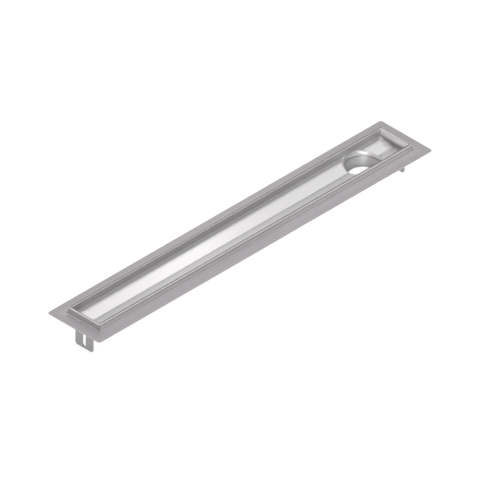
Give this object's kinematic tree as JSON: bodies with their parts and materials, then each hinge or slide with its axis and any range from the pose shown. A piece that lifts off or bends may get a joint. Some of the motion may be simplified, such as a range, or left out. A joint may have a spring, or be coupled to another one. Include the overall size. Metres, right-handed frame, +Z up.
{
  "type": "linear shower drain",
  "caption": "Long folded sheet shower channel with flanges, folded-back rims, a V-shaped floor, a drawn outlet with a cup under it, and slotted feet.",
  "frame": {"origin": "On the ground that the feet stand on, under the middle of the channel.", "axes": "+X along the channel towards the end with the outlet, +Y across it, +Z up."},
  "size_m": [0.96, 0.15, 0.0812],
  "materials": {
    "channel_sheet": "pickled and brushed stainless steel",
    "cup_sheet": "drawn stainless steel, left as drawn",
    "foot_sheet": "stainless steel with a mill finish"
  },
  "bodies": {
    "root": {"channel_body": "channel_sheet", "end_piece_outlet": "channel_sheet", "end_piece_far": "channel_sheet", "outlet_cup": "cup_sheet", "foot_outlet": "foot_sheet", "foot_far": "foot_sheet"}
  },
  "joints": []
}
